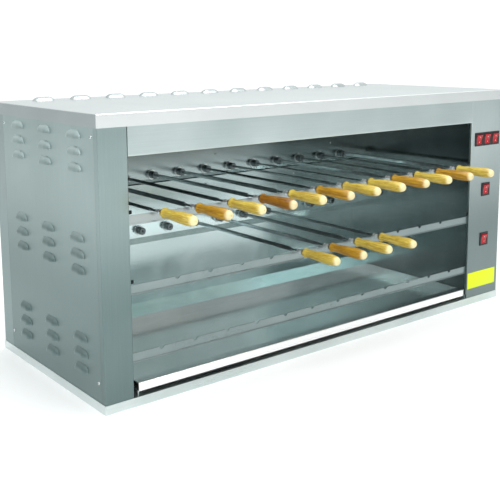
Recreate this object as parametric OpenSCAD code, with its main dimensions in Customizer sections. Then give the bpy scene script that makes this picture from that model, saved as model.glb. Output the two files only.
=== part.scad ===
// Electric skewer grill: a table-top cabinet of folded stainless sheet, open at the
// front, with two galleries of skewers that a gear train turns, hairpin heaters under
// its roof and a drip tray that slides out.
// X runs along the front, Y from the front to the back and Z up from the counter.
// The modules are drawn with the front sill at y = 0, and placed() centres them.

/* [Cabinet] */
// Width of the plain post to the left of the opening
left_post_w = 68; // [50:1:110]
// Width of the post to the right of it, which carries the switches
control_post_w = 140; // [115:1:200]
// Depth of the base frame
cabinet_d = 512; // [490:1:600]
// Depth of the gear housing behind the sockets
housing_d = 60; // [60:1:80]
// Height from the header's lower edge to the top
header_h = 88; // [75:1:120]
// Height of the cover's turned-down flange
cover_lip = 27.5; // [18:0.5:40]
// How far the cover stands out behind
cover_overhang = 8; // [3:1:15]
// Drop from the top of the cover to the cavity's roof
roof_drop = 49; // [40:1:65]
// Thickness of the folded sheet
sheet_t = 1.2; // [0.8:0.1:1.5]
// Outside radius of a fold
fold_r = 2.5; // [2:0.1:3.5]
// Turned-back side of a corner post
post_return = 16; // [12:1:30]

/* [Base frame] */
// Height of the channel that the cabinet stands on
base_h = 20; // [16:1:34]
// Wall of the channel
base_t = 2; // [1.5:0.1:3]
// Width of the channel's flanges
base_ledge = 16; // [12:1:24]

/* [Galleries] */
// Distance from one skewer to the next
spit_pitch = 86; // [70:1:100]
// Distance from the outer skewers to the ends of the opening
end_margin = 73; // [55:1:100]
// Height of the lowest rail's top edge
rail_z = 113; // [100:1:140]
// Distance from one rail up to the next
gallery_h = 144.5; // [130:0.5:180]
// Gap from the top rail to the header
header_gap = 120; // [90:1:160]
// Height of a rail's face
rail_face = 20; // [14:1:30]
// Thickness of a rail
rail_t = 1.5; // [1.2:0.1:2.5]
// Distance of the rails behind the front sill
rail_setback = 8; // [6:0.5:12]
// Radius of the notches that the skewers turn in
notch_r = 5.6; // [4.5:0.1:7]

/* [Skewers] */
// Length of a wooden handle
handle_len = 114; // [90:1:150]
// Radius of the handle at its thickest
handle_r = 12.6; // [10:0.1:15]
// Distance of the handle's neck in front of the front sill
neck_gap = 12; // [6:0.5:20]
// Width of the flat blade
blade_w = 10; // [7:0.5:10]
// Thickness of the flat blade
blade_t = 3; // [2:0.1:3.4]
// Radius of the tang between the handle and the blade
tang_r = 2.4; // [1.8:0.1:3]
// Distance of the blade's shoulder behind the front sill
blade_start = 38; // [30:1:80]

/* [Sockets and gears] */
// Radius of a socket
socket_r = 9.5; // [8:0.1:12]
// Length of a socket in front of its bush
socket_len = 18; // [15:1:24]
// Radius of a spindle in its bush
shaft_r = 6; // [5:0.1:7]
// Radial running clearance of a spindle
run_clear = 0.05; // [0.02:0.01:0.1]
// Teeth of each gear, an odd number so that like gears mesh
gear_teeth = 43; // [33:2:51]
// Width of a gear
gear_w = 8; // [6:0.5:11]

/* [Drip tray] */
// Gap between the left post and the tray
tray_gap_left = 15; // [8:1:30]
// Gap between the tray and the right wall
tray_gap_right = 3; // [3:0.5:15]
// Height of the tray
tray_h = 25.7; // [20:0.1:40]
// Length of the tray, from its front wall to its back wall
tray_len = 358; // [300:1:390]
// Height of the tray's front lip
lip_h = 18; // [12:0.5:20]
// How far the lip stands out in front of the tray
lip_reach = 22; // [12:1:30]

/* [Switches] */
// Width of a switch bezel
bezel_w = 36; // [26:0.5:38]
// Height of a switch bezel
bezel_h = 38; // [32:0.5:50]
// Angle that a rocker tilts through
rocker_travel = 18; // [12:1:22]

/* [Heaters] */
// Radius of a heater tube
heater_r = 4; // [3:0.1:5]
// Distance between the two legs of a hairpin
heater_span = 44; // [30:1:60]
// Drop from the roof to the heaters
heater_drop = 16; // [10:0.5:22]

/* [Louvres] */
// Length of a pressed louvre
louvre_len = 58; // [50:1:70]
// Height of a pressed louvre
louvre_h = 17; // [13:0.5:20]
// How far a louvre stands out
louvre_out = 9; // [6:0.5:11]
// Distance between louvres in a group
louvre_pitch = 33.7; // [28:0.1:45]
// Distance between the columns of louvres on a side
louvre_column = 137; // [100:1:150]
// Distance between the louvres on the top
top_pitch = 98.5; // [80:0.5:104]

/* [Hidden] */
$fn = 64;
UPPER_SPITS = 12;
LOWER_SPITS = UPPER_SPITS - 1;
FIRST_LOADED = 5;      // the lower sockets that hold a skewer, counted from 1
LAST_LOADED = 8;
SWITCH_COUNT = 5;
HEATER_COUNT = 3;

function two_digits(n) = str(n < 10 ? "0" : "", n);
function upper_spindle_name(i) = str("spindle_upper_", two_digits(i));
function lower_spindle_name(i) = str("spindle_lower_", two_digits(i));
function upper_skewer_name(i) = str("skewer_upper_", two_digits(i));
function lower_skewer_name(i) = str("skewer_lower_", two_digits(i));
function rocker_name(i) = str("rocker_", i);

// Clearances
seam = 0.4;            // open joint between two neighbouring sheets
touch = 0.2;           // play of a rail between the cavity walls
slide_clear = 0.3;     // under the tray, and round a blade in its socket
guide_clear = 1;       // beside the tray
cut = 1;               // how far a cutting shape runs past what it cuts

// Overall sizes, from the galleries outwards
opening_w = (UPPER_SPITS - 1) * spit_pitch + 2 * end_margin;
cabinet_w = left_post_w + opening_w + control_post_w;
top_rail_z = rail_z + 2 * gallery_h;
header_z = top_rail_z + header_gap;
cabinet_h = header_z + header_h;
cover_d = cabinet_d + cover_overhang;
x_left = -cabinet_w / 2;
x_right = cabinet_w / 2;
opening_x0 = x_left + left_post_w;
opening_x1 = x_right - control_post_w;
row_x = (opening_x0 + opening_x1) / 2;
y_middle = (cover_d - handle_len - neck_gap) / 2;

// The skin is set in by one sheet, so that the cover laps over it all round
skin = sheet_t;
wall_top = cabinet_h - sheet_t - fold_r;
roof_z = cabinet_h - roof_drop;
socket_y = cabinet_d - housing_d;
joggle = 6;            // step back of the panel below the lower sockets
joggle_top = rail_z + gallery_h - 20.5;
joggle_h = 18;
lap_depth = 3;         // shallow pressed lap below the upper sockets
lap_h = 9;
lap_z = top_rail_z - 21;
side_end = socket_y + joggle;
rear_y = cabinet_d - skin;
rear_inner = rear_y - sheet_t;

// Sockets, spindles and gears
bush_flange_r = socket_r + 3.5;
bush_flange_t = 2;
bush_body_r = shaft_r + 3;
bush_tail = 2.8;       // length of the bush behind the panel
socket_front = socket_y - bush_flange_t - 0.5 - socket_len;
slot_depth = socket_len - 4;
bush_end = socket_y + sheet_t + bush_tail;
gear_y = side_end + sheet_t + 1.8;
square_w = 1.5 * shaft_r;
hub_t = 5;
motor_y = gear_y + gear_w + hub_t + 2;
motor_bore = 9;
gear_module = spit_pitch / gear_teeth;

// Drip tray
apron_rise = 2.2;      // the drip apron clears the tray's rim by this
tray_x0 = opening_x0 + tray_gap_left;
tray_x1 = opening_x1 - tray_gap_right;
tray_z = base_h + slide_clear;
tray_top = tray_z + tray_h;
lip_y = rail_setback;
tray_y0 = lip_y + lip_reach;
tray_y1 = tray_y0 + tray_len;
guide_h = 10;
apron_edge = tray_y1 - 8;
apron_back_z = tray_top + 10;

function upper_x(i) = row_x + (i - (UPPER_SPITS + 1) / 2) * spit_pitch;
function lower_x(i) = row_x + (i - (LOWER_SPITS + 1) / 2) * spit_pitch;
upper_z = top_rail_z;
lower_z = rail_z + gallery_h;

// Each blade has come to rest at its own angle
UPPER_TURN = [172, 85, 156, 70, 80, 164, 38, 24, 58, 30, 35, 74];
LOWER_TURN = [0, 45, 90, 15, 82, 64, 98, 50, 30, 75, 10];

module placed() translate([0, -y_middle, 0]) children();

// A box between two corners
module box(low, high) translate(low) cube(high - low);

// Extrudes an outline drawn in (y, z) along X
module along_x(x0, x1)
    translate([x0, 0, 0]) rotate([90, 0, 90]) linear_extrude(x1 - x0) children();

// Extrudes an outline drawn in (x, z) along Y
module along_y(y0, y1)
    translate([0, y1, 0]) rotate([90, 0, 0]) linear_extrude(y1 - y0) children();

// A rectangle with its two upper corners rounded
module arched(w0, w1, h0, h1, r) {
    translate([w0, h0]) square([w1 - w0, h1 - h0 - r]);
    translate([w0 + r, h0]) square([w1 - w0 - 2 * r, h1 - h0]);
    for (x = [w0 + r, w1 - r]) translate([x, h1 - r]) circle(r);
}

// A folded channel seen on end, open towards +y: a web from x0 to x1 at y = front
module channel_2d(x0, x1, front, back_left, back_right) {
    inner_r = fold_r - sheet_t;
    module outline(inset, r) {
        translate([x0 + inset + r, front + inset]) square([x1 - x0 - 2 * inset - 2 * r, r]);
        translate([x0 + inset, front + inset + r]) square([x1 - x0 - 2 * inset, 2 * cabinet_d]);
        for (x = [x0 + inset + r, x1 - inset - r]) translate([x, front + inset + r]) circle(r);
    }
    middle = (x0 + x1) / 2;
    intersection() {
        difference() {
            outline(0, fold_r);
            outline(sheet_t, inner_r);
        }
        union() {
            translate([x0 - cut, front - cut]) square([middle - x0 + cut, back_left - front + cut]);
            translate([middle, front - cut]) square([x1 - middle + cut, back_right - front + cut]);
        }
    }
}

// Pressed louvre. Local frame: the sheet's outer face is y = 0, outwards is -y,
// the length runs along x, and the slit is at z = 0 with the hood rising above it.
louvre_c = (louvre_h * louvre_h - louvre_out * louvre_out) / (2 * louvre_out);
louvre_arc = louvre_out + louvre_c;
louvre_straight = louvre_len - 2 * louvre_h;
module bulge(r, low, root) intersection() {
    translate([0, louvre_c, 0]) {
        rotate([0, 90, 0]) cylinder(h = louvre_straight, r = r, center = true);
        for (side = [-1, 1]) translate([side * louvre_straight / 2, 0, 0]) sphere(r);
    }
    box([-louvre_len, -louvre_out - cut, low], [louvre_len, root, louvre_h + cut]);
}
// Its root is half a sheet deep, so that it joins the sheet all round
module hood() difference() {
    bulge(louvre_arc, 0, sheet_t / 2);
    bulge(louvre_arc - sheet_t, -cut, sheet_t);
}
module hood_slot() {
    slot_w = louvre_straight + 0.8 * louvre_h;
    translate([-slot_w / 2, -cut, 0]) cube([slot_w, sheet_t + 2 * cut, 0.7 * louvre_h]);
}
// A sheet in the local frame above, with a louvre centred on each place [x, z]
module louvred(places) {
    difference() {
        children();
        for (p = places) translate([p[0], 0, p[1] - louvre_h / 2]) hood_slot();
    }
    for (p = places) translate([p[0], 0, p[1] - louvre_h / 2]) hood();
}

// Channel ring that the cabinet stands on, with the two runners that carry the tray
module base_frame() color("gainsboro") {
    difference() {
        box([x_left, 0, 0], [x_right, cabinet_d, base_h]);
        box([x_left + base_t, base_t, base_t], [x_right - base_t, cabinet_d - base_t, base_h - base_t]);
        box([x_left + base_ledge, base_ledge, -cut],
            [x_right - base_ledge, cabinet_d - base_ledge, base_h + cut]);
    }
    for (side = [-1, 1]) {
        edge = side < 0 ? tray_x0 : tray_x1;
        outer = edge + side * (guide_clear + base_t);
        x0 = min(outer, edge - side * base_ledge);
        x1 = max(outer, edge - side * base_ledge);
        box([x0, base_t, base_h - base_t], [x1, cabinet_d - base_t, base_h]);
        g = min(outer, outer - side * base_t);
        box([g, rail_setback, base_h - base_t], [g + base_t, tray_y1, base_h + guide_h]);
    }
}

module left_post() color("silver")
    translate([0, 0, base_h]) linear_extrude(wall_top - base_h)
        channel_2d(x_left + skin, opening_x0, skin, post_return, rail_setback);

switch_x = (opening_x1 + x_right) / 2;
housing_w = bezel_w - 6;
housing_h = bezel_h - 6;
function switch_place(i) =
    i <= 3 ? [switch_x + (i - 2) * (bezel_w + 0.5), upper_z + gallery_h / 2]
           : [switch_x, upper_z + gallery_h / 2 - (i - 3) * gallery_h];

module control_post() color("silver")
    difference() {
        translate([0, 0, base_h]) linear_extrude(wall_top - base_h)
            channel_2d(opening_x1, x_right - skin, skin, rail_setback, post_return);
        for (i = [1:SWITCH_COUNT]) {
            p = switch_place(i);
            box([p[0] - housing_w / 2 - touch, -cut, p[1] - housing_h / 2 - touch],
                [p[0] + housing_w / 2 + touch, skin + sheet_t + cut, p[1] + housing_h / 2 + touch]);
        }
    }

module header_panel() color("silver")
    along_x(opening_x0 + seam, opening_x1 - seam) {
        depth = 12;
        translate([skin, header_z + fold_r]) square([sheet_t, wall_top - header_z - fold_r]);
        translate([skin + fold_r, header_z]) square([depth - fold_r, sheet_t]);
        translate([skin + fold_r, header_z + fold_r]) intersection() {
            difference() {
                circle(fold_r);
                circle(fold_r - sheet_t);
            }
            translate([-fold_r, -fold_r]) square(fold_r);
        }
    }

// Shallow lid that laps over the panels, with a row of louvres behind a lap seam, open
// to the rear, and pairs of pressed dimples over the heater hangers
module top_cover() {
    slit_y = socket_y - 3 + louvre_h;
    seam_y = socket_y - 14;
    dimple_r = 9;
    dimple_rows = [65, 97];
    places = [for (i = [1:UPPER_SPITS]) (i - (UPPER_SPITS + 1) / 2) * top_pitch];
    module lid(inset, low) intersection() {
        r = fold_r - inset;
        along_x(x_left + inset, x_right - inset)
            arched(inset, cover_d - inset, low, cabinet_h - inset, r);
        along_y(0, cover_d) arched(x_left + inset, x_right - inset, low, cabinet_h - inset, r);
    }
    color("whitesmoke") {
        difference() {
            lid(0, cabinet_h - cover_lip);
            lid(sheet_t, cabinet_h - cover_lip - cut);
            for (x = places) {
                translate([x, slit_y, cabinet_h]) rotate([-90, 0, 180]) hood_slot();
                for (y = dimple_rows) translate([x, y, cabinet_h + dimple_r - 0.7]) sphere(dimple_r);
            }
            box([x_left + fold_r, seam_y, cabinet_h - sheet_t / 2],
                [x_right - fold_r, seam_y + 1, cabinet_h + cut]);
        }
        for (x = places) translate([x, slit_y, cabinet_h]) rotate([-90, 0, 180]) hood();
    }
}

side_y0 = post_return + seam;
side_middle = (base_h + cabinet_h - cover_lip) / 2 + 19;
group_margin = 93;     // from the middle of an outer group to the end of the cabinet
side_rows = [for (g = [-1:1]) for (k = [-1:1])
             side_middle + g * (cabinet_h / 2 - group_margin) + k * louvre_pitch];
module side_panel(side) {
    middle = (side_y0 + side_end) / 2;
    places = [for (c = [-1:1]) for (z = side_rows) [side * c * louvre_column, z]];
    translate([side * (x_right - skin), middle, 0]) rotate([0, 0, side * 90]) louvred(places)
        box([-(side_end - side_y0) / 2, 0, base_h], [(side_end - side_y0) / 2, sheet_t, wall_top]);
}
module left_side_panel() color("silver") side_panel(-1);
module right_side_panel() color("silver") side_panel(1);

// Back of the gear housing, folded round both rear corners, with louvres behind
// the gearmotors and the rimmed hole for the cord
module rear_cover() color("silver") {
    motor_x = (upper_x(UPPER_SPITS) + lower_x(LOWER_SPITS)) / 2;
    places = [for (c = [-1:1]) for (k = [-1:1])
              [-motor_x + c * 80, lower_z + gallery_h / 2 + k * louvre_pitch]];
    wing = rear_y - side_end - seam;
    cord_x = switch_x;
    cord_z = base_h + 45;
    cord_r = 8;
    translate([0, rear_y, 0]) rotate([0, 0, 180]) louvred(places) difference() {
        union() {
            translate([0, 0, base_h]) linear_extrude(wall_top - base_h)
                channel_2d(x_left + skin, x_right - skin, 0, wing, wing);
            translate([-cord_x, 0.5, cord_z]) rotate([90, 0, 0]) cylinder(h = 2, r = cord_r + 2.5);
        }
        translate([-cord_x, sheet_t + cut, cord_z]) rotate([90, 0, 0])
            cylinder(h = sheet_t + 4 * cut, r = cord_r);
    }
}

module spindle_places() {
    for (i = [1:UPPER_SPITS]) translate([upper_x(i), 0, upper_z]) children();
    for (i = [1:LOWER_SPITS]) translate([lower_x(i), 0, lower_z]) children();
}

// Front face of the back wall in (y, z) from its top down, with the lap and the step
PANEL_FRONT = [[socket_y, lap_z + lap_h], [socket_y + lap_depth, lap_z], [socket_y, lap_z - lap_depth],
               [socket_y, joggle_top], [side_end, joggle_top - joggle_h], [side_end, base_h]];

// Back wall of the cavity. It carries the spindles, steps back below them, and has
// the apron that leads the drippings into the tray.
module socket_panel() {
    module wall_2d() {
        front = concat([[socket_y, wall_top]], PANEL_FRONT);
        back = [for (k = [len(front) - 1:-1:0]) front[k] + [sheet_t, 0]];
        polygon(concat(front, back));
    }
    color("silver") difference() {
        along_x(x_left + skin + sheet_t, x_right - skin - sheet_t) wall_2d();
        spindle_places() translate([0, socket_y + sheet_t + cut, 0]) rotate([90, 0, 0])
            cylinder(h = sheet_t + 2 * cut, r = bush_body_r + run_clear);
    }
    color("silver") along_x(opening_x0 + seam, opening_x1 - seam) polygon([
        [side_end, apron_back_z], [side_end, apron_back_z + sheet_t],
        [apron_edge, tray_top + apron_rise + sheet_t], [apron_edge, tray_top + apron_rise]]);
}

heater_z = roof_z - heater_drop;
heater_y0 = 110;
heater_step = (socket_y - 2 * heater_y0 + 20) / (HEATER_COUNT - 1);
function heater_y(k) = heater_y0 + (k - 1) * heater_step;
heater_hole = heater_r + slide_clear;
hanger_in = 60;
hanger_places = [opening_x0 + hanger_in, row_x];

// Side walls and roof of the cavity, with the hangers that the heaters pass through
module cavity_wall_2d() polygon(concat(
    [[rail_setback + seam, base_h], [rail_setback + seam, roof_z + sheet_t], [socket_y, roof_z + sheet_t]],
    PANEL_FRONT));
module cavity_liner() color("slategray") {
    along_x(opening_x0 - sheet_t, opening_x0) cavity_wall_2d();
    difference() {
        along_x(opening_x1, opening_x1 + sheet_t) cavity_wall_2d();
        for (k = [1:HEATER_COUNT]) for (s = [-1, 1])
            translate([opening_x1 - cut, heater_y(k) + s * heater_span / 2, heater_z]) rotate([0, 90, 0])
                cylinder(h = sheet_t + 2 * cut, r = heater_hole);
    }
    box([opening_x0, skin + sheet_t + touch, roof_z], [opening_x1, socket_y, roof_z + sheet_t]);
    for (x = hanger_places) for (k = [1:HEATER_COUNT]) difference() {
        box([x, heater_y(k) - heater_span / 2 - 9, heater_z - 9],
            [x + rail_t, heater_y(k) + heater_span / 2 + 9, roof_z]);
        for (s = [-1, 1])
            translate([x - cut, heater_y(k) + s * heater_span / 2, heater_z]) rotate([0, 90, 0])
                cylinder(h = rail_t + 2 * cut, r = heater_hole);
    }
}

// Three notched angles. The skewers lie in the notches, and the lowest rail is a spare.
module rail(top, xs) {
    hem_r = 1.2;
    difference() {
        along_x(opening_x0 + touch, opening_x1 - touch) {
            translate([rail_setback, top - rail_face]) square([rail_t, rail_face]);
            translate([rail_setback, top - rail_face]) square([14, rail_t]);
            translate([rail_setback - hem_r + 0.4, top - rail_face + hem_r]) circle(hem_r);
        }
        for (x = xs) translate([x, rail_setback + rail_t + cut, top]) rotate([90, 0, 0])
            cylinder(h = rail_t + 2 * cut, r = notch_r);
    }
}
module skewer_rails() color("lightgray") {
    rail(upper_z, [for (i = [1:UPPER_SPITS]) upper_x(i)]);
    rail(lower_z, [for (i = [1:LOWER_SPITS]) lower_x(i)]);
    rail(rail_z, [for (i = [1:UPPER_SPITS]) upper_x(i)]);
}

// Flanged bushes pressed into the socket panel, one for each spindle
module spindle_bushes() color("darkgray")
    spindle_places() translate([0, bush_end, 0]) rotate([90, 0, 0]) difference() {
        union() {
            cylinder(h = bush_end - socket_y + bush_flange_t, r = bush_body_r);
            translate([0, 0, bush_end - socket_y]) cylinder(h = bush_flange_t, r = bush_flange_r);
        }
        translate([0, 0, -cut]) cylinder(h = bush_end - socket_y + bush_flange_t + 2 * cut,
                                         r = shaft_r + run_clear);
    }

// Spur gear with straight flanks at 20 degrees and generous backlash, flat on every side
module gear_2d() {
    pitch_r = spit_pitch / 2;
    root_r = pitch_r - 1.25 * gear_module;
    tip_r = pitch_r + gear_module;
    step = 360 / gear_teeth;
    function half(r) = step / 4 * 0.9 - (r - pitch_r) * tan(20) / pitch_r * 180 / PI;
    function at(r, a) = [r * cos(a), r * sin(a)];
    polygon([for (k = [0:gear_teeth - 1]) each [
        at(root_r, k * step - half(root_r)), at(tip_r, k * step - half(tip_r)),
        at(tip_r, k * step + half(tip_r)), at(root_r, k * step + half(root_r))]]);
}

// Socket and shaft turned from one bar, with a gear on its squared tail
module spindle(turn, driven) {
    tail_end = driven ? motor_y + motor_bore - 1.5 : gear_y + gear_w + hub_t + 1;
    color("dimgray") rotate([-90, 0, 0]) {
        difference() {
            union() {
                translate([0, 0, socket_front + 1]) cylinder(h = socket_len - 1, r = socket_r);
                translate([0, 0, socket_front]) cylinder(h = 1, r1 = socket_r - 1, r2 = socket_r);
                translate([0, 0, socket_front + socket_len - 1])
                    cylinder(h = bush_end + 0.5 - socket_front - socket_len + 1, r = shaft_r);
            }
            rotate([0, 0, -turn]) translate([0, 0, socket_front - cut])
                linear_extrude(slot_depth + cut)
                    square([blade_w * 0.6 + 2 * slide_clear, blade_t + 2 * slide_clear], center = true);
        }
        translate([0, 0, bush_end + 0.5]) linear_extrude(tail_end - bush_end - 0.5)
            square(square_w, center = true);
    }
    color("ivory") translate([0, gear_y + gear_w, 0]) rotate([90, 0, 0]) {
        linear_extrude(gear_w) difference() {
            gear_2d();
            square(square_w, center = true);
        }
        translate([0, 0, -hub_t]) linear_extrude(hub_t) difference() {
            circle(shaft_r + 4, $fn = 8);
            square(square_w, center = true);
        }
    }
}

// Half outline of the turned handle, as parts of its radius and its length: a collar
// at the neck, a waist and a long swelling that closes in a round end
HANDLE_OUTLINE = [[0.72, 0], [0.82, 0.014], [0.86, 0.034], [0.85, 0.056], [0.8, 0.075], [0.75, 0.1],
                  [0.74, 0.14], [0.76, 0.2], [0.81, 0.3], [0.88, 0.42], [0.94, 0.53], [0.98, 0.63],
                  [1, 0.72], [0.99, 0.8], [0.94, 0.87], [0.84, 0.925], [0.69, 0.963], [0.48, 0.987],
                  [0.25, 0.998], [0, 1]];

// Skewer along Y with its axis at the origin: handle, black washer, chromed ferrule
// and a flat blade forged in one with its tang
module skewer(turn) {
    washer_t = 4;
    ferrule_y = washer_t - neck_gap;
    ferrule_end = rail_setback + rail_t + 5;
    waist_y = (ferrule_y + rail_setback) / 2;
    bead = notch_r - slide_clear;
    bore = tang_r + run_clear;
    tang_in = 30;
    tip_len = 26;
    tip = socket_front + slot_depth - 0.5;
    color("burlywood") translate([0, -neck_gap, 0]) rotate([90, 0, 0]) difference() {
        rotate_extrude()
            polygon(concat([[0, 0]], [for (p = HANDLE_OUTLINE) [p[0] * handle_r, p[1] * handle_len]]));
        translate([0, 0, -cut]) cylinder(h = tang_in + cut, r = bore, $fn = 32);
    }
    color("black") translate([0, -neck_gap, 0]) rotate([-90, 0, 0]) difference() {
        cylinder(h = washer_t, r = handle_r * 0.68);
        translate([0, 0, -cut]) cylinder(h = washer_t + 2 * cut, r = bore, $fn = 32);
    }
    color("white") rotate([-90, 0, 0]) rotate_extrude() polygon([
        [bore, ferrule_y], [bead * 0.85, ferrule_y], [bead, ferrule_y + 1.5],
        [bead, waist_y - 2.5], [bead * 0.8, waist_y - 0.7], [bead * 0.8, waist_y + 0.7],
        [bead, waist_y + 2.5], [bead, rail_setback - 1.2], [bead * 0.95, rail_setback - 0.3],
        [bead * 0.95, rail_setback + rail_t + 0.3], [bead, rail_setback + rail_t + 1.2],
        [bead * 0.94, ferrule_end - 1], [bead * 0.7, ferrule_end], [bore, ferrule_end]]);
    color("dimgray") {
        translate([0, 1 - neck_gap - tang_in, 0]) rotate([-90, 0, 0])
            cylinder(h = blade_start + 1 + neck_gap + tang_in, r = tang_r, $fn = 32);
        rotate([0, -turn, 0]) translate([0, 0, -blade_t / 2]) linear_extrude(blade_t) polygon([
            [-blade_w / 2, blade_start], [blade_w / 2, blade_start],
            [blade_w / 2, socket_front - tip_len], [blade_w * 0.3, socket_front - 2],
            [blade_w * 0.3, tip - 2], [blade_w * 0.15, tip], [-blade_w * 0.15, tip],
            [-blade_w * 0.3, tip - 2], [-blade_w * 0.3, socket_front - 2],
            [-blade_w / 2, socket_front - tip_len]]);
    }
}

// Hairpin heaters, with their terminals beyond the right wall of the cavity
module heating_elements() color("darkolivegreen") {
    bend_x = opening_x0 + 40;
    end_x = opening_x1 + 22;
    for (k = [1:HEATER_COUNT]) translate([0, heater_y(k), heater_z]) {
        for (s = [-1, 1]) translate([bend_x, s * heater_span / 2, 0]) rotate([0, 90, 0]) {
            cylinder(h = end_x - bend_x, r = heater_r, $fn = 32);
            cylinder(h = end_x - bend_x + 9, r = heater_r * 0.4, $fn = 24);
        }
        translate([bend_x, 0, 0]) rotate([0, 0, 90]) rotate_extrude(angle = 180)
            translate([heater_span / 2, 0]) circle(heater_r, $fn = 32);
    }
}

// Gearmotors behind the last spindle of each row, bolted to the rear cover
module gearmotor() {
    box_w = 60;
    box_h = 74;
    box_d = 16;
    difference() {
        union() {
            translate([-box_w / 2, motor_y, -box_h / 2 + 10]) cube([box_w, box_d, box_h]);
            translate([0, rear_inner, 12]) rotate([90, 0, 0])
                cylinder(h = rear_inner - motor_y - box_d, r = 27);
        }
        translate([0, motor_y + motor_bore, 0]) rotate([90, 0, 0])
            cylinder(h = motor_bore + cut, r = shaft_r + 2);
    }
}
module gearmotors() color("dimgray") {
    translate([upper_x(UPPER_SPITS), 0, upper_z]) gearmotor();
    translate([lower_x(LOWER_SPITS), 0, lower_z]) gearmotor();
}

// Rocker switches. The housing snaps into the post from the front, and the rocker
// turns on a pin across the mouth of the housing.
flange_t = 2;
rocker_w = housing_w - 7;
rocker_h = housing_h - 5;
pivot_y = skin + 2.5;
pin_r = 1.5;
module switch_housings() color("black")
    for (i = [1:SWITCH_COUNT]) translate([switch_place(i)[0], 0, switch_place(i)[1]]) difference() {
        union() {
            along_y(skin - flange_t, skin) difference() {
                square([bezel_w, bezel_h], center = true);
                square([housing_w - 2, housing_h - 2], center = true);
            }
            box([-housing_w / 2, skin - 0.5, -housing_h / 2], [housing_w / 2, skin + 26, housing_h / 2]);
        }
        box([-rocker_w / 2 - 0.5, skin - 2 * flange_t, -rocker_h / 2 - 1],
            [rocker_w / 2 + 0.5, skin + 17, rocker_h / 2 + 1]);
        translate([-rocker_w / 2 - 2, pivot_y, 0]) rotate([0, 90, 0])
            cylinder(h = rocker_w + 4, r = pin_r + run_clear, $fn = 32);
    }
module rocker(i) color("crimson")
    translate([switch_place(i)[0], pivot_y, switch_place(i)[1]]) rotate([rocker_travel / 2, 0, 0]) {
        half_h = rocker_h / 2 - 0.6;
        face = flange_t + 4.4;
        along_x(-rocker_w / 2, rocker_w / 2) intersection() {
            circle(half_h + 0.4);
            polygon([[-face, -half_h], [-face + 2.4, 0], [-face, half_h], [0, half_h],
                     [4, half_h - 4], [6.5, 0], [4, -half_h + 4], [0, -half_h]]);
        }
        translate([-rocker_w / 2 - 1.5, 0, 0]) rotate([0, 90, 0])
            cylinder(h = rocker_w + 3, r = pin_r, $fn = 32);
    }

// Drip tray folded from one sheet, with a deep front lip to pull it by
module drip_tray() color("white") {
    difference() {
        box([tray_x0, tray_y0, tray_z], [tray_x1, tray_y1, tray_top]);
        box([tray_x0 + sheet_t, tray_y0 + sheet_t, tray_z + sheet_t],
            [tray_x1 - sheet_t, tray_y1 - sheet_t, tray_top + cut]);
    }
    inner_r = fold_r - sheet_t;
    along_x(tray_x0, tray_x1) {
        translate([lip_y, tray_top - lip_h]) square([sheet_t, lip_h - fold_r]);
        translate([lip_y + fold_r, tray_top - sheet_t]) square([lip_reach - fold_r + sheet_t, sheet_t]);
        translate([lip_y + fold_r, tray_top - fold_r]) intersection() {
            difference() {
                circle(fold_r);
                circle(inner_r);
            }
            translate([-fold_r, 0]) square(fold_r);
        }
    }
    for (x = [tray_x0, tray_x1 - sheet_t]) along_x(x, x + sheet_t) polygon([
        [lip_y + sheet_t / 2, tray_top - lip_h], [lip_y + sheet_t / 2, tray_top - fold_r],
        [lip_y + fold_r, tray_top - sheet_t / 2], [tray_y0 + sheet_t / 2, tray_top - sheet_t / 2],
        [tray_y0 + sheet_t / 2, tray_z]]);
}

placed() {
    base_frame();
    left_post();
    control_post();
    header_panel();
    top_cover();
    left_side_panel();
    right_side_panel();
    rear_cover();
    socket_panel();
    cavity_liner();
    skewer_rails();
    spindle_bushes();
    heating_elements();
    gearmotors();
    switch_housings();
    drip_tray();
    for (i = [1:SWITCH_COUNT])
        rocker(i);
    for (i = [1:UPPER_SPITS])
        translate([upper_x(i), 0, upper_z]) spindle(UPPER_TURN[i - 1], i == UPPER_SPITS);
    for (i = [1:LOWER_SPITS])
        translate([lower_x(i), 0, lower_z]) spindle(LOWER_TURN[i - 1], i == LOWER_SPITS);
    for (i = [1:UPPER_SPITS])
        translate([upper_x(i), 0, upper_z]) skewer(UPPER_TURN[i - 1]);
    for (i = [FIRST_LOADED:LAST_LOADED])
        translate([lower_x(i), 0, lower_z]) skewer(LOWER_TURN[i - 1]);
}
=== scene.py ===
"""Looks of the electric skewer grill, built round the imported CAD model."""
import math

import bpy
from mathutils import Matrix, Vector


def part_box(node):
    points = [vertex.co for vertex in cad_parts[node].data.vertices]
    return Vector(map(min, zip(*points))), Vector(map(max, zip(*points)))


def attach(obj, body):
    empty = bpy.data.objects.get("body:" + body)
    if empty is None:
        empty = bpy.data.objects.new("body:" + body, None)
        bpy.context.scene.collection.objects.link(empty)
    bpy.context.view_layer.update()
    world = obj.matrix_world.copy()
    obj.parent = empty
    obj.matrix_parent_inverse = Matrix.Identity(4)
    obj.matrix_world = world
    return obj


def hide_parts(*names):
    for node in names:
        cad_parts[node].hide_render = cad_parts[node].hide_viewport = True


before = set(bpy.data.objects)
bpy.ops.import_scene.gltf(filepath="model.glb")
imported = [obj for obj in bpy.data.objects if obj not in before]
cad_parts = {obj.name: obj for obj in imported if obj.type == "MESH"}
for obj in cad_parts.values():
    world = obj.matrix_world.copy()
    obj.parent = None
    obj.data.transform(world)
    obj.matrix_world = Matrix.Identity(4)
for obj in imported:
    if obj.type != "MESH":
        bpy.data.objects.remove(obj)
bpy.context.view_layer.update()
MM = 0.001

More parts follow.
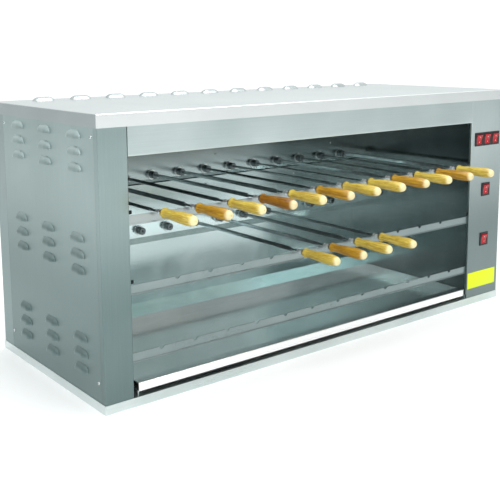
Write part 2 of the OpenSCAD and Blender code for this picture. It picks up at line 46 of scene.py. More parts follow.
# Camera: a normal lens at the left front corner, a little above the cover. Its place is
# the best fit to the cabinet's edges with a shift small enough for the other views.
camera_place = (-1.4228, -1.6487, 0.7390)
heading = math.radians(-38.323)
pitch = math.radians(81.287)
roll = math.radians(-0.369)
bpy.ops.object.camera_add()
camera = bpy.context.object
camera.matrix_world = (
    Matrix.Translation(camera_place)
    @ Matrix.Rotation(heading, 4, "Z")
    @ Matrix.Rotation(pitch, 4, "X")
    @ Matrix.Rotation(roll, 4, "Z")
)
camera.data.lens = 61.03
camera.data.shift_y = -0.15
bpy.context.scene.camera = camera

# Studio: a plain pale floor in a plain room, which is what the sheet mirrors: white behind
# the object, pale above and grey elsewhere. One soft box hangs overhead, and a smaller
# one stands at the left front, for the glints on turned and pressed pieces.
floor_r = 4.6
floor_rim = 1.2


def linear(code):
    """An sRGB hex colour as linear red, green, blue and alpha."""
    shares = [int(code[k : k + 2], 16) / 255 for k in (0, 2, 4)]
    curve = [s / 12.92 if s <= 0.04045 else ((s + 0.055) / 1.055) ** 2.4 for s in shares]
    return curve + [1.0]


def add_node(owner, kind, links=None, **settings):
    """Adds one node to a material or world: links holds its inputs, as values or sockets.
    In a Mix node, input 0 is the share, 2 and 3 are its values, and 6 and 7 its colours."""
    node = owner.node_tree.nodes.new(kind)
    for key, value in settings.items():
        setattr(node, key, value)
    for key, value in (links or {}).items():
        if isinstance(value, bpy.types.NodeSocket):
            owner.node_tree.links.new(value, node.inputs[key])
        else:
            node.inputs[key].default_value = value
    return node


def new_material(name):
    """A new material and its shader."""
    material = bpy.data.materials.new(name)
    material.use_nodes = True
    return material, material.node_tree.nodes["Principled BSDF"]


bpy.ops.mesh.primitive_circle_add(vertices=96, radius=floor_r, fill_type="NGON", location=(0, 0, 0))
floor = bpy.context.object
floor.name = "studio_floor"
bpy.ops.object.mode_set(mode="EDIT")
bpy.ops.mesh.inset(thickness=floor_rim)
bpy.ops.object.mode_set(mode="OBJECT")
# White paper: matt, so it takes a soft shadow and mirrors nothing
paper, paper_shader = new_material("white_background_paper")
paper_shader.inputs["Base Color"].default_value = linear("f6f7f7")
paper_shader.inputs["Roughness"].default_value = 0.9
floor.data.materials.append(paper)

room = bpy.data.worlds.new("studio_room")
room.use_nodes = True
bpy.context.scene.world = room
behind_object = Vector((0.62, 0.785, 0.0))
toward = add_node(room, "ShaderNodeTexCoord").outputs["Generated"]
facing = add_node(room, "ShaderNodeVectorMath", {0: toward, 1: behind_object}, operation="DOT_PRODUCT")
white_share = add_node(
    room, "ShaderNodeMapRange",
    {"Value": facing.outputs["Value"], "From Min": 0.35, "From Max": 0.8}, interpolation_type="SMOOTHSTEP",
)
dark_share = add_node(
    room, "ShaderNodeMapRange",
    {"Value": facing.outputs["Value"], "From Min": -0.45, "From Max": -0.9}, interpolation_type="SMOOTHSTEP",
)
height = add_node(room, "ShaderNodeSeparateXYZ", {0: toward}).outputs["Z"]
dome_share = add_node(
    room, "ShaderNodeMapRange",
    {"Value": height, "From Min": 0.12, "From Max": 0.6}, interpolation_type="SMOOTHSTEP",
)
walls = add_node(
    room, "ShaderNodeMix", {0: dark_share.outputs[0], 6: (0.5, 0.54, 0.54, 1), 7: (0.24, 0.27, 0.27, 1)},
    data_type="RGBA",
)
dome = add_node(
    room, "ShaderNodeMix", {0: dome_share.outputs[0], 6: walls.outputs[2], 7: (0.95, 0.97, 0.97, 1)},
    data_type="RGBA",
)
sky = add_node(
    room, "ShaderNodeMix", {0: white_share.outputs[0], 6: dome.outputs[2], 7: (1.12, 1.14, 1.14, 1)},
    data_type="RGBA",
)
room.node_tree.links.new(sky.outputs[2], room.node_tree.nodes["Background"].inputs["Color"])


def soft_box(name, place, aim, size, power):
    """A square lamp at place that shines at aim."""
    bpy.ops.object.light_add(type="AREA", location=place)
    lamp = bpy.context.object
    lamp.name = name
    lamp.rotation_euler = (Vector(aim) - Vector(place)).to_track_quat("-Z", "Y").to_euler()
    lamp.data.size = size
    lamp.data.energy = power
    lamp.visible_camera = False


soft_box("overhead_box", (0.1, -0.4, 2.7), (0, 0, 0), 2.6, 55)
soft_box("left_front_box", (-2.1, -2.5, 2.1), (0, 0, 0.3), 1.0, 40)
bpy.context.scene.view_settings.view_transform = "Standard"

# Base frame: a channel ring of bright stainless sheet, mitred at its corners and open
# towards the inside. The cabinet stands on it, and it carries the drip tray's two runners.
# Heights of the painted shade or light at a panel's foot: full below foot_level, none above own_level
foot_level = 200 * MM
own_level = 560 * MM


# Stainless sheet: cold-rolled and belt-brushed along one axis, so it mirrors the room as
# soft streaks. Every folded panel is of it, each in the shade that the photograph shows,
# some with painted shade or painted light towards the foot.
def brushed_steel(name, low, high, along, roughness=0.34, cloud_size=0.28, foot=1.0):
    """Stainless sheet in a shade from low to high, with its grain along X, Y or Z. It has
    that shade above own_level, and below foot_level the shade times foot: painted shade
    where foot is below 1, painted light where it is above 1."""
    material, shader = new_material(name)
    place = add_node(material, "ShaderNodeTexCoord").outputs["Object"]
    # Real scratches are about 0.1 mm wide and 30 mm long, drawn wider and longer to show
    streak_wide = 1.6 * MM
    streak_long = 110 * MM
    stretch = [1 / streak_wide] * 3
    stretch["XYZ".index(along)] = 1 / streak_long
    laid = add_node(material, "ShaderNodeMapping", {"Vector": place, "Scale": stretch})
    grain = add_node(material, "ShaderNodeTexNoise", {"Vector": laid.outputs[0], "Scale": 1.0, "Detail": 2.0})
    cloud = add_node(
        material, "ShaderNodeTexNoise",
        {"Vector": place, "Scale": 1 / cloud_size, "Detail": 3.0, "Roughness": 0.55, "Distortion": 0.6},
    )
    both = add_node(material, "ShaderNodeMix", {0: 0.25, 2: cloud.outputs[0], 3: grain.outputs[0]})
    shade = add_node(
        material, "ShaderNodeMapRange", {"Value": both.outputs[0], "From Min": 0.3, "From Max": 0.7}
    )
    tint = add_node(
        material, "ShaderNodeMix", {0: shade.outputs[0], 6: linear(low), 7: linear(high)}, data_type="RGBA"
    )
    # Painted shade or painted light at the foot: below own_level the shade is multiplied towards foot
    level = add_node(material, "ShaderNodeSeparateXYZ", {0: place}).outputs["Z"]
    rise = add_node(
        material, "ShaderNodeMapRange",
        {"Value": level, "From Min": foot_level, "From Max": own_level}, interpolation_type="SMOOTHSTEP",
    )
    # A panel with painted shade at its foot is painted a little bluer there too
    painted_shade_red_share = 0.9 if foot < 1 else 1.0
    painted_foot_fade = add_node(
        material, "ShaderNodeMix",
        {0: rise.outputs[0], 6: (foot * painted_shade_red_share, foot, foot, 1), 7: (1, 1, 1, 1)}, data_type="RGBA",
    )
    tint = add_node(
        material, "ShaderNodeMix", {0: 1.0, 6: tint.outputs[2], 7: painted_foot_fade.outputs[2]},
        data_type="RGBA", blend_type="MULTIPLY",
    )
    rough = add_node(
        material, "ShaderNodeMapRange",
        {"Value": both.outputs[0], "From Min": 0.3, "From Max": 0.7,
         "To Min": roughness - 0.05, "To Max": roughness + 0.05},
    )
    bump = add_node(
        material, "ShaderNodeBump", {"Height": grain.outputs[0], "Strength": 0.08, "Distance": 0.1 * MM}
    )
    shader.inputs["Metallic"].default_value = 1.0
    material.node_tree.links.new(tint.outputs[2], shader.inputs["Base Color"])
    material.node_tree.links.new(rough.outputs[0], shader.inputs["Roughness"])
    material.node_tree.links.new(bump.outputs[0], shader.inputs["Normal"])
    return material


def dress(node, material):
    """Gives a CAD node a finish in each of its slots."""
    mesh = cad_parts[node].data
    for k in range(len(mesh.materials)):
        mesh.materials[k] = material


dress("base_frame", brushed_steel("bright_channel_steel", "c2cdcc", "dce4e3", "X", 0.3))

# Corner posts: stainless sheet, brake-folded, with the grain running up them. The right
# one is wider and has the cut-outs for the switches. Both darken towards the foot by
# painted shade.
dress("left_post", brushed_steel("brushed_post_steel", "9db0af", "b1c1c0", "Z", 0.32, foot=0.42))
dress("control_post", brushed_steel("brushed_control_post_steel", "c8d5d4", "dae4e3", "Z", 0.34, foot=0.32))

# Header panel: stainless sheet over the opening, between the two posts and hemmed below,
# with its grain along the front.
dress("header_panel", brushed_steel("brushed_header_steel", "c6d4d3", "dae5e4", "X", 0.33))

# Top cover: a lid of bright sheet whose flanges lap over the panels below it. Its front
# flange is paler than the top, a painted highlight whose shade is a guess.
cover_steel = brushed_steel("bright_cover_steel", "b2babb", "c1c8c8", "X", 0.36)


def painted_highlight_front(material, front_edge, code):
    """Gives a sheet a painted highlight on its front flange: a paler shade up to 2.5 mm behind its front
    edge.
    """
    shader = material.node_tree.nodes["Principled BSDF"]
    own_shade = shader.inputs["Base Color"].links[0].from_socket
    place = add_node(material, "ShaderNodeTexCoord").outputs["Object"]
    depth = add_node(material, "ShaderNodeSeparateXYZ", {0: place}).outputs["Y"]
    painted_highlight_share = add_node(
        material, "ShaderNodeMapRange",
        {"Value": depth, "From Min": front_edge + 2.5 * MM, "From Max": front_edge + 1.5 * MM},
    )
    shades = add_node(
        material, "ShaderNodeMix", {0: painted_highlight_share.outputs[0], 6: own_shade, 7: linear(code)},
        data_type="RGBA",
    )
    material.node_tree.links.new(shades.outputs[2], shader.inputs["Base Color"])


painted_highlight_front(cover_steel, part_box("top_cover")[0].y, "fafcfc")
dress("top_cover", cover_steel)

# Side panels and rear cover: duller stainless sheet, with louvres pressed out of it. They
# darken towards the foot by painted shade, as the posts do. The rear doesn't show in the
# photograph, so its shade is guessed from the sides.
side_steel = brushed_steel("brushed_side_steel", "a8b9b8", "bacac9", "Z", 0.38, foot=0.42)
dress("left_side_panel", side_steel)
dress("right_side_panel", side_steel)
dress("rear_cover", brushed_steel("brushed_rear_steel", "9fadad", "b1bdbd", "Z", 0.36, foot=0.6))

# Back wall of the cavity: the sheet that carries the spindles in their bushes. It mirrors
# its neighbours more sharply than the outside does. Its dark shade is painted shade of
# the cavity, and it is paler low down by painted light.
back_wall_steel = brushed_steel("polished_back_wall_steel", "647070", "767f7f", "X", 0.22, 0.16, foot=4.2)
dress("socket_panel", back_wall_steel)

# Cavity liner: the side walls and roof of the cavity, folded from sheet, with the plates
# that the heaters hang in. It is darker than the outside by painted shade of the cavity.
dress("cavity_liner", brushed_steel("dark_liner_steel", "737c7c", "8b9393", "Y", 0.2, 0.2))

# Rails: three notched angles of stainless sheet across the opening, whose notches the
# skewers lie in. They darken towards the foot by painted shade, as the posts do.
dress("skewer_rails", brushed_steel("brushed_rail_steel", "b0b9b9", "c6cdcd", "X", 0.3, 0.12, foot=0.5))

# Drip tray: bright sheet folded up on every side, which slides on the base frame's
# runners. Its front lip is the palest strip of the grill, a painted highlight whose shade
# is a guess.
tray_steel = brushed_steel("bright_tray_steel", "c3cbcb", "dce2e2", "X", 0.22)
painted_highlight_front(tray_steel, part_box("drip_tray")[0].y, "ffffff")
dress("drip_tray", tray_steel)

# Bushes, heaters, gearmotors and spindles: turned, bent and boxed metal parts that keep
# their CAD shape. Heaters and gearmotors don't show in the photograph, so their finish
# is guessed.
UPPER = [f"upper_{k:02d}" for k in range(1, 13)]
LOWER = [f"lower_{k:02d}" for k in range(1, 12)]


def plain_finish(name, low, high, roughness, metallic, grit):
    """A finish with a fine mottle: its shade and gloss wander over spots of a real size."""
    material, shader = new_material(name)
    place = add_node(material, "ShaderNodeTexCoord").outputs["Object"]
    spots = add_node(material, "ShaderNodeTexNoise", {"Vector": place, "Scale": 1 / grit, "Detail": 3.0})
    tint = add_node(
        material, "ShaderNodeMix", {0: spots.outputs[0], 6: linear(low), 7: linear(high)}, data_type="RGBA"
    )
    rough = add_node(
        material, "ShaderNodeMapRange",
        {"Value": spots.outputs[0], "To Min": roughness - 0.08, "To Max": roughness + 0.08},
    )
    bump = add_node(
        material, "ShaderNodeBump", {"Height": spots.outputs[0], "Strength": 0.15, "Distance": 0.1 * MM}
    )
    shader.inputs["Metallic"].default_value = metallic
    material.node_tree.links.new(tint.outputs[2], shader.inputs["Base Color"])
    material.node_tree.links.new(rough.outputs[0], shader.inputs["Roughness"])
    material.node_tree.links.new(bump.outputs[0], shader.inputs["Normal"])
    return material


# Turned steel: pale, with a soft gloss that shows each flange as a bright ring
dress("spindle_bushes", plain_finish("turned_bush_steel", "c6d1d0", "e2e9e8", 0.4, 1.0, 3 * MM))
# Heater sheath: dull and nearly black
dress("heating_elements", plain_finish("oxidised_heater_sheath", "2d302c", "4b4e45", 0.5, 0.9, 4 * MM))
# Zinc plate on pressed steel: a cloudy middle grey
dress("gearmotors", plain_finish("zinc_plated_motor_case", "6d7476", "858c8e", 0.4, 0.9, 6 * MM))
# Turned steel, darker than the bushes: each socket is a dark end in a bright ring
spindle_steel = plain_finish("dark_turned_spindle_steel", "596264", "858f90", 0.38, 1.0, 2 * MM)
for place_name in UPPER + LOWER:
    dress(f"spindle_{place_name}", spindle_steel)

# Skewers: a lacquered beech handle turned in one piece, driven onto the tang of a flat
# bar, with a black fibre washer and a chromed ferrule between them. The blade's front
# end is left square where the bar was drawn down to the tang.
handle_len = 114 * MM
handle_r = 12.6 * MM
neck_gap = 12 * MM
sill_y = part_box("base_frame")[0].y
tip_y = sill_y - neck_gap - handle_len
# The handle's outline is in shares of its radius and length. The others are in mm, with
# their place along Y counted from the cabinet's sill.
HANDLE_OUTLINE = [
    (0.72, 0.0), (0.83, 0.01), (0.89, 0.028), (0.89, 0.046), (0.83, 0.062), (0.76, 0.084),
    (0.74, 0.13), (0.77, 0.2), (0.82, 0.3), (0.88, 0.42), (0.94, 0.53), (0.98, 0.63),
    (1.0, 0.72), (0.99, 0.8), (0.94, 0.87), (0.84, 0.925), (0.69, 0.963), (0.48, 0.987),
    (0.25, 0.998), (0.1, 0.999), (0.07, 0.985), (0.0, 0.98),
]
WASHER_OUTLINE = [(2.45, -12), (7.9, -12), (8.5, -11.4), (8.5, -8.6), (7.9, -8), (2.45, -8)]
FERRULE_OUTLINE = [
    (2.45, -8), (4.5, -8), (5.0, -7.3), (5.3, -6.2), (5.3, -3.6), (5.0, -2.3), (4.4, -1.2), (4.1, 0),
    (4.4, 1.2), (5.0, 2.3), (5.3, 3.6), (5.3, 5.6), (4.9, 6.9), (4.5, 7.6), (4.4, 8.7), (4.5, 9.9),
    (4.9, 10.5), (5.25, 11.6), (5.1, 13.0), (4.5, 14.0), (3.4, 14.5), (2.45, 14.5),
]
TANG_OUTLINE = [(2.4, -40), (2.4, 15), (2.4, 28), (2.6, 34), (3.0, 40)]
blade_w = 10 * MM
blade_t = 3 * MM
blade_start = 38 * MM
taper_start = 405.5 * MM
taper_end = 429.5 * MM
point_start = 443.0 * MM
blade_tip = 445.0 * MM
# Each blade has come to rest at its own angle, in degrees
UPPER_TURN = [172, 85, 156, 70, 80, 164, 38, 24, 58, 30, 35, 74]
LOWER_TURN = {5: 82, 6: 64, 7: 98, 8: 50}


def deselect():
    """Leaves nothing selected, so that an operator acts on what is chosen next."""
    if bpy.context.object and bpy.context.object.mode != "OBJECT":
        bpy.ops.object.mode_set(mode="OBJECT")
    bpy.ops.object.select_all(action="DESELECT")


def place_in_mesh(piece, materials, body):
    """Ends a piece: its place goes into its mesh, and it gets its finish, body and slot."""
    deselect()
    piece.select_set(True)
    bpy.context.view_layer.objects.active = piece
    bpy.ops.object.transform_apply(location=True, rotation=True, scale=True)
    bpy.ops.object.shade_smooth_by_angle(angle=math.radians(32))
    if not piece.data.materials:
        for material in materials:
            piece.data.materials.append(material)
    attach(piece, body)


def in_metres(outline):
    """The points of an outline in millimetres, in metres."""
    return [(radius * MM, along * MM) for radius, along in outline]


def turned(name, outline, sides=32, bored=False):
    """Turns an outline of (radius, place along Y) about the Y axis, ring by ring. A radius
    of 0 closes an end, and a bored outline comes back to where it began."""
    deselect()
    radius, along = outline[0]
    bpy.ops.mesh.primitive_circle_add(
        vertices=sides, radius=radius, location=(0, along, 0), rotation=(math.pi / 2, 0, 0)
    )
    piece = bpy.context.object
    piece.name = name
    bpy.ops.object.transform_apply(location=True, rotation=True, scale=True)
    bpy.ops.object.mode_set(mode="EDIT")
    for new_radius, new_along in outline[1:]:
        bpy.ops.mesh.extrude_edges_move(TRANSFORM_OT_translate={"value": (0, new_along - along, 0)})
        if new_radius == 0:
            bpy.ops.mesh.merge(type="CENTER")
            break
        share = new_radius / radius
        bpy.ops.transform.resize(value=(share, 1, share), center_override=(0, new_along, 0))
        radius, along = new_radius, new_along
    bpy.ops.mesh.select_all(action="DESELECT")
    bpy.ops.mesh.select_mode(type="EDGE")
    bpy.ops.mesh.select_non_manifold()
    if bored:
        bpy.ops.mesh.bridge_edge_loops()
    else:
        bpy.ops.mesh.fill_holes(sides=0)
    bpy.ops.mesh.select_all(action="SELECT")
    bpy.ops.mesh.normals_make_consistent(inside=False)
    bpy.ops.object.mode_set(mode="OBJECT")
    return piece


def copy_to(model, name, matrix):
    """A copy of a modelled piece with its own mesh, moved by a matrix."""
    piece = model.copy()
    piece.data = model.data.copy()
    piece.name = name
    bpy.context.collection.objects.link(piece)
    piece.data.transform(matrix)
    return piece


def bevel_edges(piece, width, segments=2, angle=40):
    """Rounds a piece's sharp edges by a bevel that is applied."""
    bevel = piece.modifiers.new("edges", "BEVEL")
    bevel.width = width
    bevel.segments = segments
    bevel.limit_method = "ANGLE"
    bevel.angle_limit = math.radians(angle)
    bpy.context.view_layer.objects.active = piece
    bpy.ops.object.modifier_apply(modifier=bevel.name)


def choose(piece, wanted):
    """Selects, in edit mode, the points of a piece that wanted says yes to."""
    bpy.ops.mesh.select_mode(type="VERT")
    bpy.ops.mesh.select_all(action="DESELECT")
    bpy.ops.object.mode_set(mode="OBJECT")
    for point in piece.data.vertices:
        point.select = wanted(point.co)
    bpy.ops.object.mode_set(mode="EDIT")


# Lacquered beech, turned along its grain: long warm streaks under a clear gloss coat
def lacquered_wood(name, pale, dark):
    """Beech in shades from pale to dark, with its grain along Y."""
    material, shader = new_material(name)
    place = add_node(material, "ShaderNodeTexCoord").outputs["Object"]
    # Growth rings are about 3 mm apart. Pores are 0.4 mm wide and 12 mm long, and are
    # drawn 0.8 mm wide and 14 mm long so that they show.
    rings = add_node(
        material, "ShaderNodeMapping",
        {"Vector": place, "Scale": (1 / (3 * MM), 1 / (60 * MM), 1 / (3 * MM))},
    )
    pores = add_node(
        material, "ShaderNodeMapping",
        {"Vector": place, "Scale": (1 / (0.8 * MM), 1 / (14 * MM), 1 / (0.8 * MM))},
    )
    bands = add_node(
        material, "ShaderNodeTexNoise",
        {"Vector": rings.outputs[0], "Scale": 1.0, "Detail": 2.0, "Distortion": 0.8},
    )
    flecks = add_node(
        material, "ShaderNodeTexNoise", {"Vector": pores.outputs[0], "Scale": 1.0, "Detail": 3.0}
    )
    both = add_node(material, "ShaderNodeMix", {0: 0.35, 2: bands.outputs[0], 3: flecks.outputs[0]})
    share = add_node(
        material, "ShaderNodeMapRange", {"Value": both.outputs[0], "From Min": 0.36, "From Max": 0.66}
    )
    tint = add_node(
        material, "ShaderNodeMix", {0: share.outputs[0], 6: linear(pale), 7: linear(dark)}, data_type="RGBA"
    )
    # The handles' tips are paler than the rest in the photograph. Why isn't known.
    depth = add_node(material, "ShaderNodeSeparateXYZ", {0: place}).outputs["Y"]
    tip_share = add_node(
        material, "ShaderNodeMapRange",
        {"Value": depth, "From Min": tip_y + 13 * MM, "From Max": tip_y + 3 * MM, "To Max": 0.75},
        interpolation_type="SMOOTHSTEP",
    )
    tint = add_node(
        material, "ShaderNodeMix", {0: tip_share.outputs[0], 6: tint.outputs[2], 7: linear("f2e6b4")},
        data_type="RGBA",
    )
    rough = add_node(
        material, "ShaderNodeMapRange", {"Value": flecks.outputs[0], "To Min": 0.38, "To Max": 0.6}
    )
    bump = add_node(
        material, "ShaderNodeBump", {"Height": flecks.outputs[0], "Strength": 0.1, "Distance": 0.1 * MM}
    )
    shader.inputs["Coat Weight"].default_value = 0.6
    shader.inputs["Coat Roughness"].default_value = 0.1
    material.node_tree.links.new(tint.outputs[2], shader.inputs["Base Color"])
    material.node_tree.links.new(rough.outputs[0], shader.inputs["Roughness"])
    material.node_tree.links.new(bump.outputs[0], shader.inputs["Normal"])
    return material


pale_beech = lacquered_wood("pale_lacquered_beech", "dcc85c", "a07a1c")
golden_beech = lacquered_wood("golden_lacquered_beech", "c89c2a", "84580c")
dark_beech = lacquered_wood("dark_lacquered_beech", "a87212", "542e02")
# The handles that are darker than the pale ones
WOODS = {"upper_02": golden_beech, "upper_04": dark_beech, "upper_06": golden_beech,
         "upper_09": golden_beech, "upper_11": golden_beech, "lower_06": golden_beech}
# Vulcanised fibre: matt and nearly black
washer_fibre = plain_finish("black_fibre_washer", "0b0c0c", "1c1e1e", 0.55, 0.0, 1 * MM)
# Chrome plate: the brightest metal here, with broad white glints on its beads
chrome = plain_finish("chromed_ferrule_steel", "f2f5f5", "ffffff", 0.4, 1.0, 6 * MM)
# Forged bar: mottled grey with a broad gloss
blade_steel = plain_finish("forged_blade_steel", "7d8688", "b8c0c1", 0.34, 1.0, 14 * MM)

handle_model = turned(
    "handle_model", [(r * handle_r, -neck_gap - y * handle_len) for r, y in HANDLE_OUTLINE], 40
)
washer_model = turned("washer_model", in_metres(WASHER_OUTLINE), 32, True)
ferrule_model = turned("ferrule_model", in_metres(FERRULE_OUTLINE), 32, True)
tang_model = turned("tang_model", in_metres(TANG_OUTLINE), 24)

# The blade is drawn from a bar, cut across and narrowed towards its tip
deselect()
bpy.ops.mesh.primitive_cube_add(size=1, location=(0, (blade_start + blade_tip) / 2, 0))
blade_model = bpy.context.object
blade_model.name = "blade_model"
blade_model.scale = (blade_w, blade_tip - blade_start, blade_t)
bpy.ops.object.transform_apply(location=True, rotation=True, scale=True)
bpy.ops.object.mode_set(mode="EDIT")
for along in (taper_start, taper_end, point_start):
    bpy.ops.mesh.select_all(action="SELECT")
    bpy.ops.mesh.bisect(plane_co=(0, along, 0), plane_no=(0, 1, 0))
choose(blade_model, lambda p: p.y > taper_start + 1 * MM)
bpy.ops.transform.resize(value=(0.6, 1, 1), center_override=(0, 0, 0))
choose(blade_model, lambda p: p.y > point_start + 1 * MM)
bpy.ops.transform.resize(value=(0.5, 1, 0.8), center_override=(0, 0, 0))
bpy.ops.object.mode_set(mode="OBJECT")
bevel_edges(blade_model, 0.35 * MM)

places = [(f"upper_{k + 1:02d}", turn) for k, turn in enumerate(UPPER_TURN)]
places += [(f"lower_{k:02d}", turn) for k, turn in LOWER_TURN.items()]
for place_name, turn in places:
    low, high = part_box(f"skewer_{place_name}")
    seat = Matrix.Translation(((low.x + high.x) / 2, sill_y, (low.z + high.z) / 2))
    twist = seat @ Matrix.Rotation(math.radians(turn), 4, "Y")
    rod = f"rod_{place_name}"
    wood = WOODS.get(place_name, pale_beech)
    handle = copy_to(handle_model, f"handle_{place_name}", seat)
    place_in_mesh(handle, [wood], rod)
    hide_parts(f"skewer_{place_name}")
    place_in_mesh(copy_to(washer_model, f"washer_{place_name}", seat), [washer_fibre], rod)
    place_in_mesh(copy_to(ferrule_model, f"ferrule_{place_name}", seat), [chrome], rod)
    place_in_mesh(copy_to(tang_model, f"tang_{place_name}", seat), [blade_steel], rod)
    place_in_mesh(copy_to(blade_model, f"blade_{place_name}", twist), [blade_steel], rod)
for model in (handle_model, washer_model, ferrule_model, tang_model, blade_model):
    bpy.data.objects.remove(model)

# Rocker switches: a black nylon housing that snaps into the post from the front, and a
# translucent red rocker, lit from inside, with two small generic marks printed on it in
# a pale ink.
skin_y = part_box("control_post")[0].y
bezel_w = 36 * MM
bezel_h = 38 * MM
bezel_t = 2 * MM
bezel_round = 0.7 * MM
bezel_rim = 5.3 * MM
pocket_h = 28.4 * MM
pocket_deep = 17 * MM
case_step = 2.4 * MM
case_deep = 26 * MM
large_face = 400 * MM * MM
pivot_y = skin_y + 2.5 * MM
rocker_w = 23 * MM
rocker_h = 25.8 * MM
rocker_front = 6.4 * MM
rocker_back = 4 * MM
rocker_bend = 0.32
rest_tilt = math.radians(9)
MARK_RING_OUTLINE = [(1.1, -0.35), (1.7, -0.35), (1.7, 0.35), (1.1, 0.35)]

# Moulded nylon: nearly black, with a fine satin grit
black_nylon = plain_finish("black_moulded_nylon", "0e1011", "1a1c1d", 0.42, 0.0, 0.6 * MM)
# Polycarbonate with a lamp behind it: deep red with a faint glow
red_lens = plain_finish("red_lit_polycarbonate", "86020e", "aa0618", 0.5, 0.0, 8 * MM)
red_shader = red_lens.node_tree.nodes["Principled BSDF"]
red_shader.inputs["Coat Weight"].default_value = 0.08
red_shader.inputs["Emission Color"].default_value = linear("e01020")
red_shader.inputs["Emission Strength"].default_value = 0.15
# Printing ink: matt and pale, a little pink over the red
white_print = plain_finish("pale_printed_mark", "c9b4b4", "e2d2d0", 0.5, 0.0, 1 * MM)


def box_piece(name, low, high):
    """A cube as a start, between two corners in metres."""
    deselect()
    bpy.ops.mesh.primitive_cube_add(size=1, location=[(a + b) / 2 for a, b in zip(low, high)])
    piece = bpy.context.object
    piece.name = name
    piece.scale = [b - a for a, b in zip(low, high)]
    bpy.ops.object.transform_apply(location=True, rotation=True, scale=True)
    return piece


def choose_faces(piece, wanted):
    """Selects, in edit mode, the faces of a piece that wanted says yes to."""
    bpy.ops.mesh.select_mode(type="FACE")
    bpy.ops.mesh.select_all(action="DESELECT")
    bpy.ops.object.mode_set(mode="OBJECT")
    for face in piece.data.polygons:
        face.select = wanted(face)
    bpy.ops.object.mode_set(mode="EDIT")


# The bezel is sunk in front for the rocker and drawn out behind into the housing
bezel_model = box_piece(
    "bezel_model", (-bezel_w / 2, skin_y - bezel_t, -bezel_h / 2), (bezel_w / 2, skin_y, bezel_h / 2)
)
bevel_edges(bezel_model, bezel_round, 3)
bpy.ops.object.mode_set(mode="EDIT")
choose_faces(bezel_model, lambda f: f.normal.y < -0.9 and f.area > large_face)
bpy.ops.mesh.inset(thickness=bezel_rim)
inset_h = bezel_h - 2 * bezel_round - 2 * bezel_rim
bpy.ops.transform.resize(value=(1, 1, pocket_h / inset_h), center_override=(0, 0, 0))
bpy.ops.mesh.extrude_region_move(TRANSFORM_OT_translate={"value": (0, pocket_deep, 0)})
choose_faces(bezel_model, lambda f: f.normal.y > 0.9 and f.area > large_face)
bpy.ops.mesh.inset(thickness=case_step)
bpy.ops.mesh.extrude_region_move(TRANSFORM_OT_translate={"value": (0, case_deep, 0)})
bpy.ops.object.mode_set(mode="OBJECT")

# The rocker's face dips to its middle, and its back is drawn in at both ends
rocker_model = box_piece(
    "rocker_model", (-rocker_w / 2, -rocker_front, -rocker_h / 2), (rocker_w / 2, rocker_back, rocker_h / 2)
)
bpy.ops.object.mode_set(mode="EDIT")
for level in (-rocker_bend, 0.0, rocker_bend):
    bpy.ops.mesh.select_all(action="SELECT")
    bpy.ops.mesh.bisect(plane_co=(0, 0, level * rocker_h), plane_no=(0, 0, 1))
choose(rocker_model, lambda p: p.y < 0 and abs(p.z) < 0.1 * rocker_h)
bpy.ops.transform.translate(value=(0, 2.4 * MM, 0))
choose(rocker_model, lambda p: p.y < 0 and 0.1 * rocker_h < abs(p.z) < 0.4 * rocker_h)
bpy.ops.transform.translate(value=(0, 1.3 * MM, 0))
choose(rocker_model, lambda p: p.y > 0 and abs(p.z) > 0.4 * rocker_h)
bpy.ops.transform.translate(value=(0, -2.5 * MM, 0))
bpy.ops.object.mode_set(mode="OBJECT")
bevel_edges(rocker_model, 0.8 * MM, 3, 50)

# The marks are an upright bar below the middle and a ring above it
bar_model = box_piece(
    "bar_model", (-0.7 * MM, -5.95 * MM, -8.4 * MM), (0.7 * MM, -5.2 * MM, -5.0 * MM)
)
bevel_edges(bar_model, 0.2 * MM)
ring_model = turned("ring_model", in_metres(MARK_RING_OUTLINE), 24, True)
ring_model.data.transform(Matrix.Translation((0, -5.5 * MM, 7 * MM)))

for k in range(1, 6):
    low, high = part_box(f"rocker_{k}")
    middle = Vector(((low.x + high.x) / 2, 0, (low.z + high.z) / 2))
    seat = Matrix.Translation((middle.x, pivot_y, middle.z)) @ Matrix.Rotation(rest_tilt, 4, "X")
    body = f"rocker_body_{k}"
    housing = copy_to(bezel_model, f"switch_housing_{k}", Matrix.Translation(middle))
    place_in_mesh(housing, [black_nylon], "cabinet")
    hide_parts("switch_housings")
    rocker = copy_to(rocker_model, f"lit_rocker_{k}", seat)
    place_in_mesh(rocker, [red_lens], body)
    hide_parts(f"rocker_{k}")
    place_in_mesh(copy_to(bar_model, f"on_mark_{k}", seat), [white_print], body)
    place_in_mesh(copy_to(ring_model, f"off_mark_{k}", seat), [white_print], body)
for model in (bezel_model, rocker_model, bar_model, ring_model):
    bpy.data.objects.remove(model)

# Yellow plate: a bare enamelled plate on the foot of the control post, 125 mm wide and
# 46 mm high. How it is held doesn't show in the photograph.
plate_t = 0.6 * MM
plate_low = (0.512, skin_y - plate_t, 0.046)
plate_high = (0.637, skin_y, 0.092)
# Enamel: one strong flat yellow with a dull gloss
yellow_enamel = plain_finish("yellow_enamelled_plate", "dcec04", "e8f80a", 0.55, 0.0, 12 * MM)
plate = box_piece("yellow_plate", plate_low, plate_high)
bevel_edges(plate, 0.25 * MM)
place_in_mesh(plate, [yellow_enamel], "cabinet")

# Screws: zinc-plated pan heads, driven into the side panels, the back wall and the rear
# cover. Those on the right side and the rear don't show in the photograph and are guessed,
# and so is the cross recess, which is too small to show in it.
SCREW_OUTLINE = [(3.6, 0), (3.6, -0.7), (3.3, -1.3), (2.4, -1.9), (1.2, -2.15), (0, -2.2)]
recess_reach = 1.9 * MM
recess_half = 0.35 * MM
left_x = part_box("left_post")[0].x
right_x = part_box("control_post")[1].x
# The rear sheet lies 1.2 mm inside the base, and its louvres stand proud of it
rear_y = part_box("base_frame")[1].y - 1.2 * MM
# The front face of the back wall's upper half. Its node's box begins further forward, at
# the drip apron.
back_wall_y = sill_y + 452 * MM

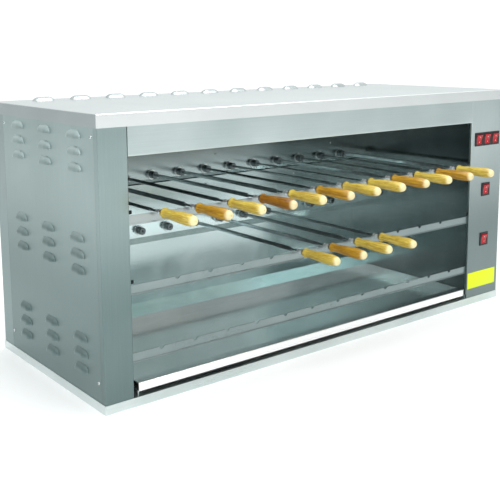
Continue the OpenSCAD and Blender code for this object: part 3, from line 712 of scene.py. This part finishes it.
# Zinc plate: small pale glints
zinc = plain_finish("zinc_plated_screw_steel", "b9c0bf", "dfe4e3", 0.25, 1.0, 2 * MM)
screw_model = turned("screw_model", in_metres(SCREW_OUTLINE), 24)
cross = box_piece(
    "cross", (-recess_reach, -2.6 * MM, -recess_half), (recess_reach, -1.0 * MM, recess_half)
)
bpy.ops.object.mode_set(mode="EDIT")
bpy.ops.mesh.select_all(action="SELECT")
bpy.ops.mesh.duplicate()
bpy.ops.transform.rotate(value=math.pi / 2, orient_axis="Y", center_override=(0, 0, 0))
bpy.ops.object.mode_set(mode="OBJECT")
recess = screw_model.modifiers.new("recess", "BOOLEAN")
recess.object = cross
recess.solver = "EXACT"
recess.use_self = True
bpy.context.view_layer.objects.active = screw_model
bpy.ops.object.modifier_apply(modifier=recess.name)
bpy.data.objects.remove(cross)


def seat_at(place, turn):
    """Where a screw goes: its place, and its turn about Z from facing the front."""
    return Matrix.Translation(place) @ Matrix.Rotation(turn, 4, "Z")


SCREWS = {}
for row, z in (("low", 0.061), ("high", 0.564)):
    for column, y in (("front", sill_y + 0.027), ("back", sill_y + 0.450)):
        SCREWS[f"left_{row}_{column}"] = seat_at((left_x, y, z), -math.pi / 2)
        SCREWS[f"right_{row}_{column}"] = seat_at((right_x, y, z), math.pi / 2)
    for column, x in (("a", -0.6), ("b", -0.2), ("c", 0.2), ("d", 0.6)):
        SCREWS[f"rear_{row}_{column}"] = seat_at((x, rear_y, z), math.pi)
for column, (x, z) in enumerate(((-0.041, 0.438), (0.4026, 0.438), (-0.076, 0.357), (0.250, 0.357))):
    SCREWS[f"back_wall_{column}"] = seat_at((x, back_wall_y, z), 0)
for screw_name, seat in SCREWS.items():
    place_in_mesh(copy_to(screw_model, f"screw_{screw_name}", seat), [zinc], "cabinet")
bpy.data.objects.remove(screw_model)

# Rail hooks: small steel lugs, which the photograph shows as dark spots just above the
# right ends of the upper two rails. The left ones are guessed to match, and shape and use
# of all four are guessed too.
lug_y = sill_y + 7 * MM
lug_in = 4 * MM
opening_x0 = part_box("skewer_rails")[0].x
opening_x1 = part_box("skewer_rails")[1].x
# Blackened steel: a small dark block with a faint sheen
lug_steel = plain_finish("blackened_lug_steel", "1c2021", "343a3b", 0.4, 0.9, 3 * MM)
lug_model = box_piece("lug_model", (-4 * MM, -2 * MM, -4 * MM), (4 * MM, 1.5 * MM, 4 * MM))
bevel_edges(lug_model, 1.2 * MM, 3)
for row, z in (("top", 0.409), ("middle", 0.265)):
    for side, x in (("left", opening_x0 + lug_in), ("right", opening_x1 - lug_in)):
        lug = copy_to(lug_model, f"rail_lug_{row}_{side}", Matrix.Translation((x, lug_y, z)))
        place_in_mesh(lug, [lug_steel], "cabinet")
bpy.data.objects.remove(lug_model)

# Grommet: a moulded rubber ring snapped into the rim of the cord inlet. It doesn't show
# in the photograph, so it is guessed.
GROMMET_OUTLINE = [
    (6.2, -2.6), (7.7, -2.6), (7.7, 1.6), (9.6, 1.6), (9.9, 2.1), (9.4, 2.7), (7.2, 3.0), (6.2, 2.6),
]
inlet_x = 0.580
inlet_z = 0.065
# Moulded rubber: matt black
rubber = plain_finish("black_moulded_rubber", "0c0d0d", "1b1c1c", 0.6, 0.0, 0.8 * MM)
grommet = turned("cord_grommet", in_metres(GROMMET_OUTLINE), 32, True)
grommet.data.transform(Matrix.Translation((inlet_x, rear_y + 1.5 * MM, inlet_z)))
place_in_mesh(grommet, [rubber], "cabinet")
